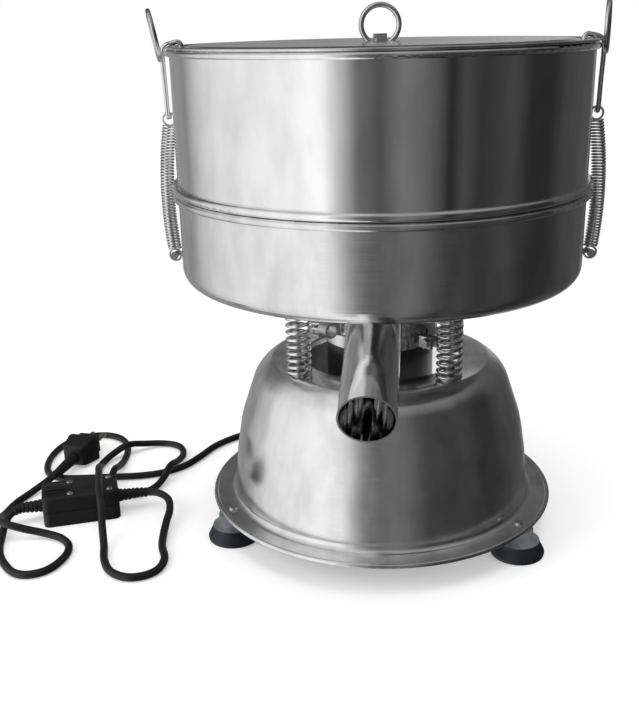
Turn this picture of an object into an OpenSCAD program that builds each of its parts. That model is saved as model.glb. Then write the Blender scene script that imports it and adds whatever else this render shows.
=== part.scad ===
// Electric vibrating sieve: a round sieve on a sprung receiving pan, shaken by
// an out-of-balance motor that hangs from the pan into a domed base.
// +Z is up, the spout points to -Y and the latches are at +X and -X.
// The origin is on the sieve's axis, on the surface that the feet stand on.

/* [View] */
// Sub-part to build, or all

/* [Overall] */
// Outer radius of the sieve and pan walls
wall_r = 151; // [130:1:180]
// Height of the flat top of the base above the floor
base_top_z = 137; // [125:1:150]
// Height of the pan's floor above the floor
pan_floor_z = 204; // [202:1:214]
// Height of the sieve drum's wall
drum_h = 96; // [70:1:150]
// Turn of the feet and springs about the axis, degrees
base_turn = -5; // [-20:1:20]

/* [Base] */
// Outer radius of the base's rolled lip
lip_r = 138; // [134:1:150]
// Height of the lip's centre above the floor
lip_z = 24; // [22:1:30]
// Radius of the motor opening in the base's top
base_hole_r = 62; // [55:1:66]
// Thickness of the base's sheet
base_t = 1.2; // [0.8:0.1:2]
// Radius of the circle that the feet stand on
foot_pcr = 128; // [125:1:130]
// Outer radius of a suction foot
foot_r = 20; // [16:1:24]

/* [Springs] */
// Radius of the circle that the support springs stand on
spring_pcr = 79; // [77:1:82]
// Outer radius of a support spring
spring_r = 9.8; // [8.5:0.1:10.5]
// Wire radius of a support spring
spring_wire_r = 1.3; // [0.9:0.1:1.5]
// Coils in a support spring
spring_turns = 13; // [8:1:14]

/* [Pan and spout] */
// Thickness of the pan's sheet
pan_t = 1; // [0.8:0.1:1.5]
// Height of the pan from its underside to the top of its bead
pan_h = 67.8; // [60:0.2:80]
// Radius of the pan's lower corner
pan_corner_r = 12; // [8:1:18]
// Outer radius of the spout
spout_r = 19; // [16:0.5:20]
// Distance of the spout's mouth from the axis
spout_reach = 185; // [175:1:200]
// Slope of the spout below level, degrees
spout_slope = 18.5; // [17:0.5:20]
// Turn of the spout about the axis, degrees
spout_turn = -2.5; // [-5:0.5:5]

/* [Motor] */
// Outer radius of the motor's shell
motor_r = 41.8; // [38:0.1:41.8]
// Radius of an out-of-balance weight
weight_r = 34; // [28:1:38]

/* [Latches] */
// Wire radius of a latch
latch_wire_r = 1.75; // [1.5:0.05:1.75]
// Outer radius of the finger ring
ring_r = 19; // [16:0.5:22]
// Outward lean of the left finger ring, degrees
ring_lean_l = 11; // [0:1:15]
// Outward lean of the right finger ring, degrees
ring_lean_r = 0; // [-2:1:15]

/* [Hidden] */

$fn = 96;
gap = 0.3;

steel = [0.78, 0.79, 0.8];
dark = [0.16, 0.16, 0.17];

// the base
flange_t = 1.2;
bowl_r = 119;
base_edge_r = 8;
lip_bead_r = 2;
collar_h = 5;
screw_r = 2;
spring_angles = [45, 135, 225, 315];
foot_angles = [60, 180, 300];
gland_angle = 212;
gland_z = 48;
gland_r = 6;

// the pan and the sieve
pan_bead_r = 2.8;
pan_top_z = pan_floor_z + pan_h;
drum_bead_r = 3;
spout_mouth_z = pan_floor_z - 47.5;
drum_base_z = pan_top_z + gap;
drum_wall_z = drum_base_z + drum_bead_r;
drum_top_z = drum_wall_z + drum_h;
rim_bead_r = 2.2;
rim_z = drum_top_z - rim_bead_r;
rim_r = wall_r + 1;
screen_z = drum_base_z + 6.4;
lid_z = drum_top_z + gap;
lid_rise = 2.4;
notch_w = 9;

// the springs between the base and the pan
spring_len = pan_floor_z - base_top_z;
spring_pitch = (spring_len - 5 * spring_wire_r) / spring_turns;
post_r = 4;

// the motor
hanger_r = 43.5;
hanger_t = 1.6;
hanger_z = 152;
hanger_flange_r = 66;
hanger_flange_t = 3;
hanger_bolt_angles = [90, 180, 270];
hanger_bolt_pcr = 56;
motor_low_z = 110;
motor_high_z = 176;
shaft_r = 6;
band_z = hanger_z + 1;
band_h = 9;
band_t = 1.5;
clip_z = hanger_z + 24;
clip_angle = -52;
band_angle = 48;

// the latches, drawn for the right-hand side and mirrored for the left
eye_wire_r = 0.8;
eye_r = 4.6;
eye_hole = eye_r - eye_wire_r;
lug_x = wall_r + 8.5;
lug_z = pan_floor_z + 14;
coil_r = 4.7;
hook_x = wall_r + 6.2;
eye_z = drum_top_z - 50;
pin_z = eye_z + eye_hole - latch_wire_r - 0.35;
hook_y = -3.6;
coil_low_z = lug_z + eye_r;
coil_high_z = eye_z - eye_r;
coil_turns = floor((coil_high_z - coil_low_z - 2) / 2.1);
coil_bow = 3.6;
hook_route = [[hook_x, 3.2, pin_z], [hook_x, -1.4, pin_z], [hook_x, -3, pin_z + 0.7],
    [hook_x, hook_y, pin_z + 2.4], [hook_x + 0.4, hook_y, drum_top_z - 28],
    [hook_x + 1, hook_y, drum_top_z - 5], [rim_r + 6, hook_y, rim_z + 1.2],
    [rim_r + 4.6, hook_y, rim_z + 3.8], [rim_r - 3.6, hook_y, rim_z + 6.7],
    [rim_r - 5.8, hook_y, rim_z + 6.9], [rim_r - 7.5, hook_y, rim_z + 5.8],
    [rim_r - 8.2, hook_y, rim_z + 4], [rim_r - 8.3, hook_y, rim_z + 1.6]];

// the cord
cord_r = 3.1;
cord_sides = 8;
supply_route = [[-73, 118, 48], [-79, 128, 46], [-87, 139, 38], [-97, 147, 25],
    [-109, 149, 12], [-123, 145, 5], [-141, 134, 3.2], [-158, 113, 3.2],
    [-169, 88, 3.2], [-180, 68, 3.2], [-195, 55, 3.2], [-212, 48, 3.2],
    [-230, 45, 3.2], [-250, 43, 3.2], [-268, 41, 3.2], [-286, 41, 3.2],
    [-301, 50, 3.2], [-309, 71, 3.2], [-310, 97, 3.2], [-304, 118, 3.2],
    [-291, 132, 3.2], [-273, 137, 3.2], [-256, 130, 3.2], [-245, 114, 3.2],
    [-240, 95, 3.2], [-239, 76, 3.2], [-239, 60, 6], [-239, 45, 9.9],
    [-238, 30, 6], [-230, 16, 3.2], [-214, 11, 3.2], [-200, 20, 3.2],
    [-193, 37, 5.5], [-190, 54, 9.9], [-187, 74, 5.5], [-186, 94, 3.2],
    [-193, 111, 3.2], [-209, 118, 3.2], [-226, 111, 6], [-240, 99, 9.9],
    [-251, 86, 6.5], [-257, 71, 4], [-256, 56, 6], [-253, 43, 10.5],
    [-248, 29, 18], [-243, 15, 27], [-239, 1, 30.5], [-234, -17, 30.5],
    [-229, -35, 30], [-224, -50, 24], [-220, -64, 12], [-215, -80, 4.5],
    [-210, -98, 3.2], [-200, -115, 3.2], [-184, -122, 3.2], [-168, -114, 3.2],
    [-164, -96, 3.2], [-170, -76, 3.4], [-172.5, -57, 4.6], [-173.4, -41, 6.6],
    [-173.6, -27, 9], [-178, -12.8, 11.4], [-188.6, -4.8, 12.8],
    [-202.4, -4.6, 13], [-211, -7.4, 13]];
plug_route = [[-289.1, -32.7, 13], [-294.8, -34.6, 13], [-300.3, -38.4, 12],
    [-303.8, -45, 9.6], [-304, -53, 6.8], [-302, -66, 3.6], [-296, -87, 3.2],
    [-285, -106, 3.2], [-269, -120, 3.2], [-252, -116, 3.2], [-243, -99, 3.2],
    [-243, -80, 3.2], [-253, -67, 3.6], [-269, -62, 5.4], [-285, -63, 9.6],
    [-299.5, -62, 13.4], [-309.5, -51, 10.8], [-313, -30, 4.2], [-311, -7, 3.2],
    [-304, 11, 4], [-295, 25, 7.6], [-288.5, 38, 10], [-287, 47, 10]];

// the inline switch and the plug
switch_pos = [-250, -20, 0];
switch_turn = 18;
switch_size = [62, 34, 26];
plug_pos = [-287, 47, 10];
plug_turn = 80.5;

// points along an arc in the r-z plane, from angle a to angle b
function arc(cr, cz, r, a, b, n) =
    [for (i = [0 : n]) [cr + r * cos(a + (b - a) * i / n), cz + r * sin(a + (b - a) * i / n)]];

// unit vector, and the level direction square to a route
function unit(v) = v / norm(v);
function side(t) = unit(cross([0, 0, 1], t));

// direction of a route at point i
function heading(p, i) = unit(p[min(i + 1, len(p) - 1)] - p[max(i - 1, 0)]);

// one ring of points round a route's point
function ring_at(c, t, u, r, n) = [for (k = [0 : n - 1])
    c + r * (cos(360 * k / n) * u + sin(360 * k / n) * cross(t, u))];

// a tube along a route; u is the sideways direction at each point
module tube(route, sideways, r, n) {
    m = len(route);
    rings = [for (i = [0 : m - 1]) each ring_at(route[i], heading(route, i), sideways[i], r, n)];
    low = [[for (k = [0 : n - 1]) k]];
    high = [[for (k = [0 : n - 1]) (m - 1) * n + n - 1 - k]];
    first = [for (i = [0 : m - 2]) for (k = [0 : n - 1])
        [i * n + k, (i + 1) * n + (k + 1) % n, i * n + (k + 1) % n]];
    second = [for (i = [0 : m - 2]) for (k = [0 : n - 1])
        [i * n + k, (i + 1) * n + k, (i + 1) * n + (k + 1) % n]];
    polyhedron(points = rings, faces = concat(low, first, second, high));
}

module flat_tube(route) {
    tube(route, [for (i = [0 : len(route) - 1]) side(heading(route, i))], cord_r, cord_sides);
}

// a coil spring's wire; centre(t) bows outward by bow and leans from x0 to x1
function coil_point(t, x0, x1, z0, z1, bow, r, turns) =
    [x0 + (x1 - x0) * t + bow * 4 * t * (1 - t) + r * cos(360 * turns * t),
        r * sin(360 * turns * t), z0 + (z1 - z0) * t];

module coil(x0, x1, z0, z1, bow, r, turns, wire, steps, sides) {
    m = turns * steps;
    route = [for (i = [0 : m]) coil_point(i / m, x0, x1, z0, z1, bow, r, turns)];
    tube(route, [for (i = [0 : m]) side(heading(route, i))], wire, sides);
}

module torus(big, small) {
    rotate_extrude()
        translate([big, 0])
            circle(r = small, $fn = 32);
}

module at_angle(a, r, z) {
    rotate([0, 0, a])
        translate([0, -r, z])
            children();
}

module hex(af, h) {
    cylinder(r = af / 2 / cos(30), h = h, $fn = 6);
}

// ---------- base ----------

// outer skin of the base, from the lip up to the edge of the flat top
bowl_outer = concat(
    [[lip_r - 2, lip_z - 0.6], [lip_r - 2, lip_z + 0.6]],
    arc(bowl_r + 6, lip_z + 6.6, 6, 270, 180, 4),
    [[bowl_r - 0.2, lip_z + 20], [116.2, lip_z + 40], [112.4, lip_z + 62],
        [107.6, lip_z + 77]],
    arc(73, base_top_z - 27.5, 30, 12, 64, 7),
    [[85.4, base_top_z]]);
bowl_inner = concat(
    [[85.4, base_top_z - base_t]],
    arc(73, base_top_z - 27.5, 30 - base_t, 64, 12, 7),
    [[107.6 - base_t, lip_z + 76.6], [112.4 - base_t, lip_z + 61.8],
        [116.2 - base_t, lip_z + 40], [bowl_r - base_t - 0.2, lip_z + 20]],
    arc(bowl_r + 6, lip_z + 6.6, 6 + flange_t, 180, 270, 4));

module base_bowl() {
    color(steel)
    difference() {
        union() {
            rotate_extrude()
                polygon(concat(bowl_outer, [[base_hole_r, base_top_z],
                    [base_hole_r, base_top_z - collar_h],
                    [base_hole_r + base_t, base_top_z - collar_h],
                    [base_hole_r + base_t, base_top_z - base_t]], bowl_inner));
            translate([0, 0, lip_z])
                torus(lip_r - lip_bead_r, lip_bead_r);
        }
        for (a = spring_angles)
            at_angle(a + base_turn, spring_pcr, base_top_z - 4)
                cylinder(r = post_r - 1.4, h = 8, $fn = 32);
        for (a = foot_angles)
            at_angle(a + base_turn, foot_pcr, lip_z - 3)
                cylinder(r = screw_r + 0.05, h = 8, $fn = 32);
        rotate([0, 0, gland_angle])
            translate([0, -bowl_r - 5, gland_z])
                rotate([-90, 0, 0])
                    cylinder(r = gland_r, h = 20, $fn = 48);
    }
}

// rubber suction feet, a neck under the flange and a hollow cup below
module foot_cups() {
    top_z = lip_z - 0.6;
    neck_r = 5.6;
    color(dark)
    for (a = foot_angles)
        at_angle(a + base_turn, foot_pcr, 0)
            difference() {
                rotate_extrude()
                    polygon([[0, 5], [8, 4.5], [17, 0], [foot_r, 0], [foot_r + 0.6, 3],
                        [foot_r - 3, 10], [foot_r - 3.4, 12], [13, 13.5], [11.5, 16], [11.5, top_z - 1.6],
                        [neck_r, top_z - 1.6], [neck_r, top_z], [0, top_z]]);
                translate([0, 0, 12])
                    cylinder(r = screw_r, h = 20, $fn = 32);
            }
}

module foot_screws() {
    color(steel)
    for (a = foot_angles)
        at_angle(a + base_turn, foot_pcr, 0) {
            translate([0, 0, 12])
                cylinder(r = screw_r, h = lip_z - 11.4, $fn = 32);
            translate([0, 0, lip_z + 0.6])
                cylinder(r1 = 3.8, r2 = 2.6, h = 1.8, $fn = 32);
        }
}

// a stud through the base's top: a button inside the spring, a nut below
module spring_posts_lower() {
    color(steel)
    for (a = spring_angles)
        at_angle(a + base_turn, spring_pcr, base_top_z) {
            cylinder(r = spring_r - 3.2, h = 2, $fn = 32);
            translate([0, 0, 2])
                cylinder(r = post_r, h = 9, $fn = 32);
            translate([0, 0, -base_t - 5])
                cylinder(r = post_r - 1.5, h = base_t + 5, $fn = 32);
            translate([0, 0, -base_t - 4])
                difference() {
                    hex(9, 4);
                    translate([0, 0, -1])
                        cylinder(r = post_r - 1.5, h = 6, $fn = 32);
                }
        }
}

module spring_posts_upper() {
    color(steel)
    for (a = spring_angles)
        at_angle(a + base_turn, spring_pcr, pan_floor_z) {
            translate([0, 0, -2])
                cylinder(r = spring_r - 3.2, h = 2, $fn = 32);
            translate([0, 0, -13])
                cylinder(r = post_r, h = 11, $fn = 32);
        }
}

module support_springs() {
    mid_r = spring_r - spring_wire_r;
    low_z = base_top_z + spring_wire_r;
    color(steel)
    for (a = spring_angles)
        at_angle(a + base_turn, spring_pcr, 0) {
            coil(0, 0, low_z, pan_floor_z - spring_wire_r, 0, mid_r, spring_turns,
                spring_wire_r, 14, 5);
        }
}

// bushing in the base's wall that the supply cord leaves through
module cord_gland() {
    color(dark)
    rotate([0, 0, gland_angle])
        translate([0, 0, gland_z])
            rotate([90, 0, 0])
                difference() {
                    union() {
                        translate([0, 0, 110])
                            cylinder(r = gland_r - 0.05, h = 24, $fn = 48);
                        translate([0, 0, 119.4])
                            cylinder(r = gland_r + 3, h = 4, $fn = 48);
                        translate([0, 0, 110])
                            cylinder(r = gland_r + 2.5, h = 4, $fn = 48);
                        translate([0, 0, 134])
                            cylinder(r1 = gland_r - 0.05, r2 = cord_r + 1.2, h = 4.7, $fn = 48);
                    }
                    translate([0, 0, 100])
                        cylinder(r = cord_r, h = 60, $fn = 48);
                }
}

// lead inside the base, from the gland to just short of the motor
module motor_lead() {
    lead = [[-58.3, 93.3, 48], [-50, 81, 49], [-43, 70, 52], [-38, 61, 62], [-35, 55, 76],
        [-32, 48, 90], [-28, 42, 104], [-25.6, 37.4, 119]];
    color(dark)
    tube(lead, [for (i = [0 : len(lead) - 1]) unit(cross([0.8, 0.5, 0], heading(lead, i)))],
        2.6, 8);
}

// cross-brace plate under the flange that ties the feet's screws to the bowl
module base_tie() {
    color(steel)
    difference() {
        translate([0, 0, lip_z - 2.6])
            cylinder(r = bowl_r + 14.5, h = 2);
        translate([0, 0, lip_z - 4])
            cylinder(r = bowl_r - 4, h = 6);
        for (a = foot_angles)
            at_angle(a + base_turn, foot_pcr, lip_z - 4)
                cylinder(r = 12, h = 6, $fn = 48);
    }
}

// ---------- pan ----------

module pan() {
    color(steel)
    difference() {
        union() {
            rotate_extrude()
                polygon(concat(
                    [[0, pan_floor_z]],
                    arc(wall_r - pan_corner_r, pan_floor_z + pan_corner_r, pan_corner_r, 270, 360, 8),
                    [[wall_r, pan_top_z - pan_bead_r], [wall_r, pan_top_z - 1],
                        [wall_r - pan_t, pan_top_z - 1]],
                    arc(wall_r - pan_corner_r, pan_floor_z + pan_corner_r, pan_corner_r - pan_t,
                        360, 270, 8),
                    [[0, pan_floor_z + pan_t]]));
            translate([0, 0, pan_top_z - pan_bead_r])
                difference() {
                    torus(wall_r + 1.3, pan_bead_r);
                    translate([0, 0, -10])
                        cylinder(r = wall_r - pan_t, h = 20);
                }
        }
        rotate([0, 0, spout_turn])
            intersection() {
                spout_bore(spout_r - 1.4);
                translate([-40, -150, pan_floor_z - 5])
                    cube([80, 97, 30]);
            }
    }
}

// cylinder along the spout's axis, in the frame turned with the spout
module spout_bore(r) {
    translate([0, -spout_reach, spout_mouth_z])
        rotate([spout_slope - 90, 0, 0])
            translate([0, 0, -20])
                cylinder(r = r, h = 240, $fn = 64);
}

module spout() {
    color(steel)
    rotate([0, 0, spout_turn])
        difference() {
            intersection() {
                translate([0, -spout_reach, spout_mouth_z])
                    rotate([spout_slope - 90, 0, 0])
                        cylinder(r = spout_r, h = 200, $fn = 64);
                translate([-40, -260, 100])
                    cube([80, 210, pan_floor_z - 100]);
            }
            difference() {
                spout_bore(spout_r - 1.2);
                translate([-40, -51.2, 100])
                    cube([80, 80, 200]);
            }
        }
}

// lug on the pan's wall: a radial stud with a bar across its end for the spring's loop
module lug(turn) {
    rotate([0, 0, turn]) {
        translate([wall_r - 0.02, 4, lug_z])
            rotate([0, 90, 0])
                cylinder(r = 1.9, h = lug_x - wall_r, $fn = 32);
        translate([lug_x, 5.9, lug_z])
            rotate([90, 0, 0])
                cylinder(r = 1.9, h = 9.4, $fn = 32);
        translate([lug_x, -3.5, lug_z])
            rotate([90, 0, 0])
                cylinder(r = 3, h = 1.4, $fn = 32);
        translate([wall_r, 4, lug_z])
            rotate([0, 90, 0])
                cylinder(r = 3.6, h = 1.2, $fn = 32);
    }
}

module lug_r() {
    color(steel)
    lug(0);
}

module lug_l() {
    color(steel)
    mirror([1, 0, 0])
        lug(0);
}

// ---------- motor ----------

module motor_hanger() {
    color(steel)
    difference() {
        union() {
            translate([0, 0, hanger_z])
                cylinder(r = hanger_r, h = pan_floor_z - hanger_z);
            translate([0, 0, pan_floor_z - hanger_flange_t])
                cylinder(r = hanger_flange_r, h = hanger_flange_t);
        }
        translate([0, 0, hanger_z - 1])
            cylinder(r = hanger_r - hanger_t, h = pan_floor_z - hanger_z + 2);
        rotate([0, 0, spout_turn])
            translate([-24, -80, pan_floor_z - 4])
                cube([48, 34, 6]);
        for (a = hanger_bolt_angles)
            at_angle(a + base_turn, hanger_bolt_pcr, pan_floor_z - 4)
                cylinder(r = 2.55, h = 6, $fn = 32);
        for (a = [0, 120, 240])
            rotate([0, 0, a + 55])
                translate([-1.2, -hanger_r - 2, hanger_z - 1])
                    cube([2.4, 6, 14]);
    }
}

module hanger_bolts() {
    color(steel)
    for (a = hanger_bolt_angles)
        at_angle(a + base_turn, hanger_bolt_pcr, pan_floor_z) {
            translate([0, 0, -hanger_flange_t])
                cylinder(r = 2.5, h = hanger_flange_t, $fn = 32);
            translate([0, 0, -hanger_flange_t - 3.5])
                hex(8, 3.5);
        }
}

module motor_shell() {
    color(dark)
    difference() {
        translate([0, 0, motor_low_z])
            cylinder(r = motor_r, h = motor_high_z - motor_low_z);
        translate([0, 0, motor_low_z - 1])
            cylinder(r = motor_r - 2, h = motor_high_z - motor_low_z + 2);
    }
}

module motor_cap(z) {
    difference() {
        translate([0, 0, z])
            cylinder(r = motor_r - 2.02, h = 8);
        translate([0, 0, z - 1])
            cylinder(r = shaft_r + 4, h = 10, $fn = 48);
    }
}

module motor_cap_top() {
    color(steel)
    motor_cap(motor_high_z - 8);
}

module motor_cap_bottom() {
    color(steel)
    motor_cap(motor_low_z);
}

module stator_core() {
    color(dark)
    difference() {
        translate([0, 0, motor_low_z + 14])
            cylinder(r = motor_r - 2.02, h = 38);
        translate([0, 0, motor_low_z + 13])
            cylinder(r = 26, h = 40);
    }
}

module bearings() {
    color(steel)
    for (z = [motor_low_z + 0.5, motor_high_z - 7.5])
        translate([0, 0, z])
            difference() {
                cylinder(r = shaft_r + 4, h = 7, $fn = 48);
                translate([0, 0, -1])
                    cylinder(r = shaft_r + 0.05, h = 9, $fn = 48);
            }
}

// split band round the hanger's slotted end, with two ears
module clamp_band() {
    color(steel)
    rotate([0, 0, band_angle])
        difference() {
            union() {
                translate([0, 0, band_z])
                    cylinder(r = hanger_r + band_t, h = band_h);
                for (x = [-5.2, 2.2])
                    translate([x, -hanger_r - 12, band_z])
                        cube([3, 14, band_h]);
            }
            translate([0, 0, band_z - 1])
                cylinder(r = hanger_r, h = band_h + 2);
            translate([-2.2, -hanger_r - 20, band_z - 1])
                cube([4.4, 22, band_h + 2]);
            translate([-20, -hanger_r - 7.5, band_z + band_h / 2])
                rotate([0, 90, 0])
                    cylinder(r = 2, h = 40, $fn = 32);
        }
}

module clamp_bolt() {
    color(steel)
    rotate([0, 0, band_angle])
        translate([0, -hanger_r - 7.5, band_z + band_h / 2])
            rotate([0, 90, 0]) {
                translate([0, 0, -8])
                    cylinder(r = 2, h = 19, $fn = 32);
                translate([0, 0, -8.4])
                    hex(7, 3.2);
                translate([0, 0, 5.2])
                    hex(7, 3.2);
            }
}

// looped clip that holds the motor's lead to the hanger
module cable_clip() {
    color(steel)
    rotate([0, 0, clip_angle])
        translate([0, -hanger_r, clip_z])
            difference() {
                union() {
                    translate([-5, -1.2, -12])
                        cube([10, 1.2, 21]);
                    translate([-5, -6.6, -10])
                        rotate([0, 90, 0])
                            cylinder(r = 6, h = 10, $fn = 48);
                }
                translate([-6, -6.6, -10])
                    rotate([0, 90, 0])
                        cylinder(r = 4.6, h = 12, $fn = 48);
                translate([-6, 0, -20])
                    cube([12, 10, 40]);
            }
}

module clip_screw() {
    color(steel)
    rotate([0, 0, clip_angle])
        translate([0, -hanger_r - 1.2, clip_z + 5])
            rotate([90, 0, 0])
                cylinder(r1 = 3.4, r2 = 2.6, h = 2.4, $fn = 32);
}

module motor_shaft() {
    color(steel)
    translate([0, 0, motor_low_z - 20])
        cylinder(r = shaft_r, h = motor_high_z - motor_low_z + 40, $fn = 48);
}

module rotor_core() {
    color(steel)
    difference() {
        translate([0, 0, motor_low_z + 15])
            cylinder(r = 25.4, h = 36);
        translate([0, 0, motor_low_z + 14])
            cylinder(r = shaft_r, h = 38, $fn = 48);
    }
}

// half-disc weight with a hub round the shaft
module weight(z) {
    difference() {
        union() {
            intersection() {
                translate([0, 0, z])
                    cylinder(r = weight_r, h = 11);
                translate([-50, -50, z])
                    cube([100, 50, 11]);
            }
            translate([0, 0, z])
                cylinder(r = 13, h = 11);
        }
        translate([0, 0, z - 1])
            cylinder(r = shaft_r, h = 13, $fn = 48);
        translate([0, 16, z + 5.5])
            rotate([90, 0, 0])
                cylinder(r = 2, h = 12, $fn = 24);
    }
}

module weight_top() {
    color(dark)
    weight(motor_high_z + 5);
}

module weight_bottom() {
    color(dark)
    weight(motor_low_z - 16);
}

module weight_screws() {
    color(steel)
    for (z = [motor_high_z + 10.5, motor_low_z - 10.5])
        translate([0, 14, z])
            rotate([90, 0, 0])
                cylinder(r = 2, h = 7.8, $fn = 24);
}

// ---------- sieve and lid ----------

module sieve_drum() {
    color(steel)
    difference() {
        union() {
            translate([0, 0, drum_base_z + 5])
                cylinder(r = wall_r, h = drum_top_z - drum_base_z - 6);
            translate([0, 0, drum_wall_z])
                torus(wall_r + 1.6, drum_bead_r);
            translate([0, 0, rim_z])
                torus(rim_r, rim_bead_r);
            translate([0, 0, drum_base_z + 4.6])
                cylinder(r = wall_r + 0.5, h = 1.4);
            translate([0, 0, drum_base_z - 9])
                cylinder(r = wall_r - 1.6, h = 14);
        }
        translate([0, 0, screen_z])
            cylinder(r = wall_r - 1, h = 200);
        translate([0, 0, drum_base_z - 20])
            cylinder(r = wall_r - 2.8, h = 60);
        difference() {
            translate([0, 0, drum_base_z - 1])
                cylinder(r = wall_r - 1, h = 4);
            translate([0, 0, drum_base_z - 2])
                cylinder(r = wall_r - 1.6, h = 6);
        }
    }
}

module mesh_screen() {
    color(steel)
    translate([0, 0, screen_z])
        cylinder(r = wall_r - 1.1, h = 0.5);
}

module mesh_ring() {
    color(steel)
    translate([0, 0, screen_z + 0.5])
        difference() {
            cylinder(r = wall_r - 1.05, h = 4);
            translate([0, 0, -1])
                cylinder(r = wall_r - 5, h = 6);
        }
}

// pressed lid: an edge on the drum's rim, a locating step inside it and a raised middle
module lid() {
    color(steel)
    difference() {
        union() {
            rotate_extrude()
                polygon([[0, lid_z + lid_rise - 0.8], [136, lid_z + lid_rise - 0.8],
                    [140, lid_z], [146.5, lid_z], [146.5, lid_z - 5], [147.4, lid_z - 5],
                    [147.4, lid_z], [rim_r, lid_z], [rim_r, lid_z + 0.8], [140.3, lid_z + 0.8],
                    [136.3, lid_z + lid_rise], [0, lid_z + lid_rise]]);
            translate([0, 0, lid_z + 1])
                torus(rim_r, 1);
        }
        for (s = [-1, 1])
            translate([s * 155 - 15.2, hook_y - notch_w / 2, lid_z - 8])
                cube([30.4, notch_w, 20]);
        translate([0, 0, lid_z - 4])
            cylinder(r = 2, h = 12, $fn = 32);
    }
}

module lid_ring() {
    foot_z = lid_z + lid_rise;
    color(steel)
    difference() {
        translate([0, 0, foot_z + 11])
            rotate([90, 0, 0])
                torus(13.5, 1.9);
        translate([-30, -30, foot_z - 40])
            cube([60, 60, 40]);
    }
}

module lid_bolt() {
    top = lid_z + lid_rise;
    color(steel) {
        translate([0, 0, top])
            hex(8.6, 5);
        translate([0, 0, top - 7])
            cylinder(r = 2, h = 7, $fn = 32);
        translate([0, 0, top - 0.8 - 3.4])
            difference() {
                hex(8.6, 3.4);
                translate([0, 0, -1])
                    cylinder(r = 2, h = 6, $fn = 32);
            }
    }
}

// ---------- latches ----------

module pull_spring() {
    coil(lug_x, hook_x, coil_low_z, coil_high_z, coil_bow, coil_r, coil_turns, 0.8, 10, 5);
    translate([lug_x, 0, lug_z])
        rotate([90, 0, 0])
            torus(eye_r, eye_wire_r);
}

module pull_spring_r() {
    color(steel)
    pull_spring();
}

module pull_spring_l() {
    color(steel)
    mirror([1, 0, 0])
        pull_spring();
}

module spring_eye() {
    translate([hook_x, 0, eye_z])
        rotate([90, 0, 0])
            torus(eye_r, eye_wire_r);
}

module spring_eye_r() {
    color(steel)
    spring_eye();
}

module spring_eye_l() {
    color(steel)
    mirror([1, 0, 0])
        spring_eye();
}

// bent wire: a pin through the spring's eye, a rod and a hook over the drum's rim
module latch_hook() {
    m = len(hook_route);
    sideways = [for (i = [0 : m - 1])
        i < 4 ? [-1, 0, 0] : unit(cross(heading(hook_route, i), [0, 1, 0]))];
    tube(hook_route, sideways, latch_wire_r, 12);
}

module latch_hook_r() {
    color(steel)
    latch_hook();
}

module latch_hook_l() {
    color(steel)
    mirror([1, 0, 0])
        latch_hook();
}

// finger ring welded to the outside of the hook's wire
module latch_ring(lean) {
    translate([hook_x + 2.6, hook_y, drum_top_z - 9.2])
        rotate([0, lean, 0])
            rotate([0, 0, -14])
                translate([0, 0, ring_r])
                    rotate([0, 90, 0])
                        torus(ring_r - latch_wire_r, latch_wire_r);
}

module latch_ring_r() {
    color(steel)
    latch_ring(ring_lean_r);
}

module latch_ring_l() {
    color(steel)
    mirror([1, 0, 0])
        latch_ring(ring_lean_l);
}

// ---------- cord, switch and plug ----------

module cord_supply() {
    color(dark)
    flat_tube(supply_route);
}

module cord_plug_end() {
    color(dark)
    flat_tube(plug_route);
}

module at_switch() {
    translate(switch_pos)
        rotate([0, 0, switch_turn])
            children();
}

module switch_half(z0, z1, r) {
    w = switch_size[0] / 2;
    d = switch_size[1] / 2;
    translate([0, 0, z0])
        linear_extrude(z1 - z0)
            difference() {
                union() {
                    square([2 * w - 2 * r, 2 * d], center = true);
                    square([2 * w, 2 * d - 2 * r], center = true);
                    for (x = [-1, 1])
                        for (y = [-1, 1])
                            translate([x * (w - r), y * (d - r)])
                                circle(r = r, $fn = 32);
                }
            }
}

module switch_shell_lower() {
    color(dark)
    at_switch()
        switch_half(0.2, 12.9, 5);
}

module switch_shell_upper() {
    color(dark)
    at_switch()
        difference() {
            switch_half(13, switch_size[2], 5);
            translate([-29, -6, 18])
                cube([18, 12, 20]);
        }
}

// rocker in the lid of the switch, tipped by its pin
module rocker() {
    color(dark)
    at_switch()
        intersection() {
            translate([-20, 5.4, 23.4])
                rotate([90, 0, 0])
                    cylinder(r = 8.2, h = 10.8, $fn = 48);
            translate([-28.6, -5.4, 20.4])
                cube([17.2, 10.8, 7]);
        }
}

module switch_screws() {
    color(steel)
    at_switch()
        for (x = [-8, 24])
            for (y = [-11, 11])
                translate([x, y, switch_size[2]])
                    cylinder(r1 = 2.6, r2 = 2, h = 1, $fn = 24);
}

module relief(h) {
    cylinder(r1 = 5.4, r2 = 4.2, h = h, $fn = 32);
    for (z = [3, 6.5, 10])
        if (z < h - 1)
            translate([0, 0, z])
                cylinder(r = 5.6, h = 1.6, $fn = 32);
}

module strain_relief_in() {
    color(dark)
    at_switch()
        translate([31, 0, 13])
            rotate([0, 90, 0])
                relief(10);
}

module strain_relief_out() {
    color(dark)
    at_switch()
        translate([-31, 0, 13])
            rotate([0, -90, 0])
                relief(10);
}

module at_plug() {
    translate(plug_pos)
        rotate([0, 0, plug_turn])
            children();
}

module plug_body() {
    color(dark)
    at_plug() {
        translate([22, -15, -9])
            cube([25, 30, 23]);
        translate([47, -10, -7])
            cube([11, 20, 17]);
    }
}

module strain_relief_plug() {
    color(dark)
    at_plug()
        rotate([0, 90, 0])
            mirror([0, 0, 1])
                translate([0, 0, -22])
                    relief(22);
}

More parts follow.
